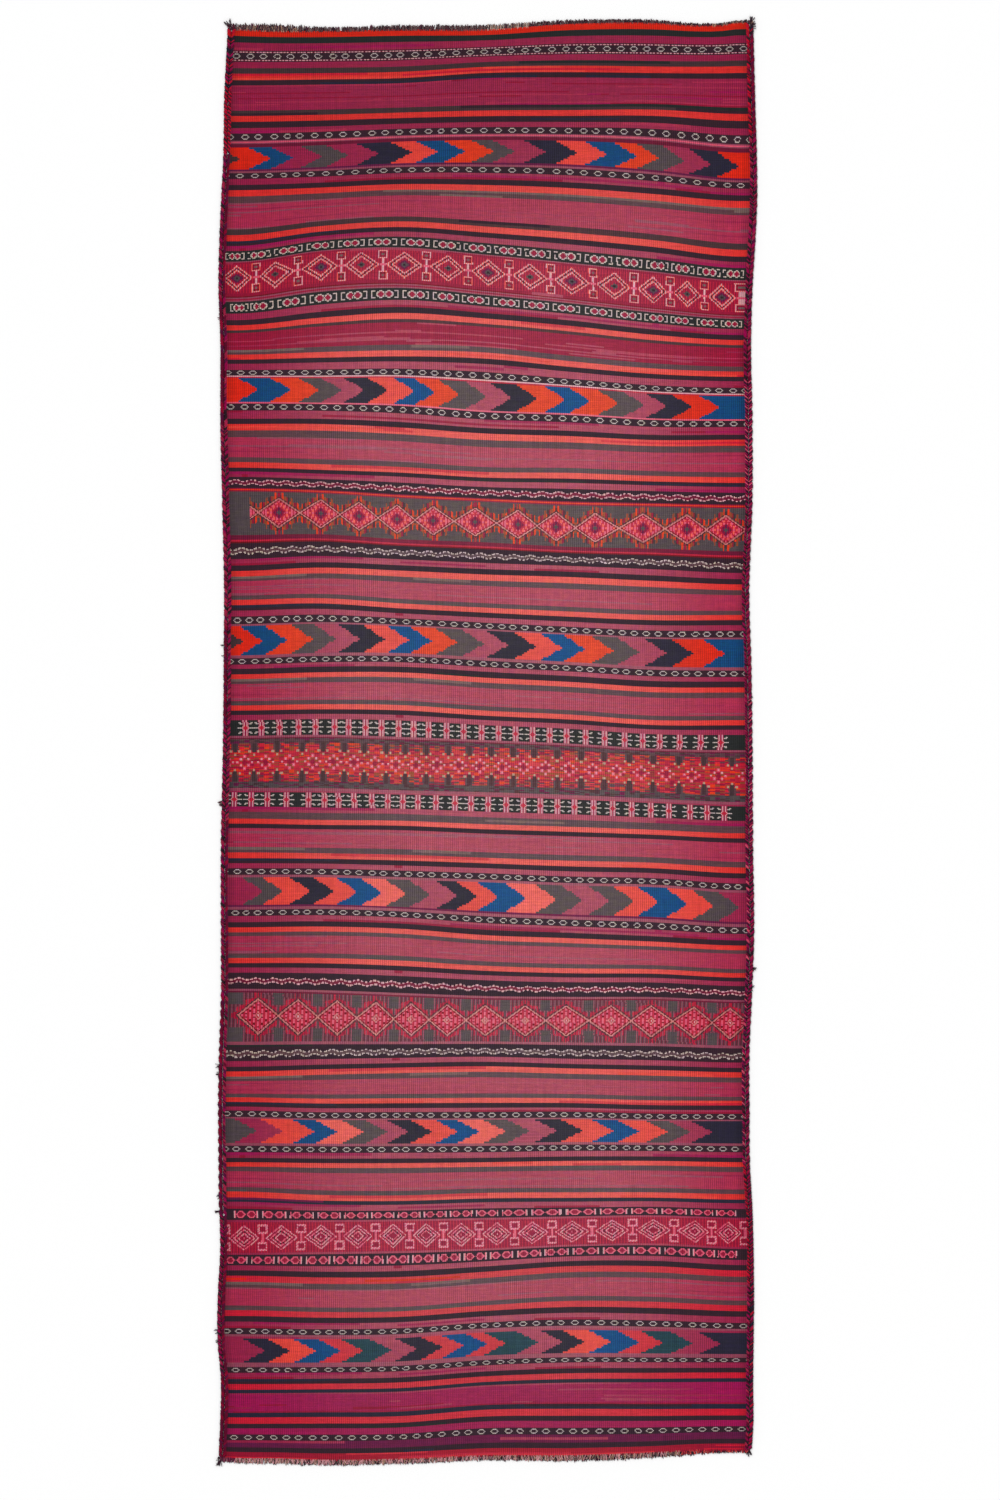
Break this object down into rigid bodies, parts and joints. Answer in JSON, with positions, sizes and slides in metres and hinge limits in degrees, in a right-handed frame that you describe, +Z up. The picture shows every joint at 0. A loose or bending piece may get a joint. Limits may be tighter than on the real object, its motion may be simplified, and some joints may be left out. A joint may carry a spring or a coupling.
{
  "type": "kilim runner",
  "caption": "Long flat-woven wool runner with banded geometric patterns, overcast side edges and short cut fringes, lying flat.",
  "frame": {"origin": "on the surface the runner lies on, under the middle of its outline", "axes": "+X across the runner to the picture's right, +Y along it towards the head end at the picture's top, +Z up out of its face"},
  "size_m": [1.2468, 3.3428, 0.0045],
  "materials": {
    "kilim_weave": "matt wool tapestry weave in bands of plum, red, orange, black, blue, olive and cream",
    "overcast_yarn": "matt wool yarn wrapped round the edge in crimson and black-navy",
    "warp_ends": "matt frayed wool warp ends, brown, beige and pink"
  },
  "bodies": {
    "root": {"kilim_cloth": "kilim_weave", "selvedge_left": "overcast_yarn", "selvedge_right": "overcast_yarn", "fringe_top": "warp_ends", "fringe_bottom": "warp_ends"}
  },
  "joints": []
}
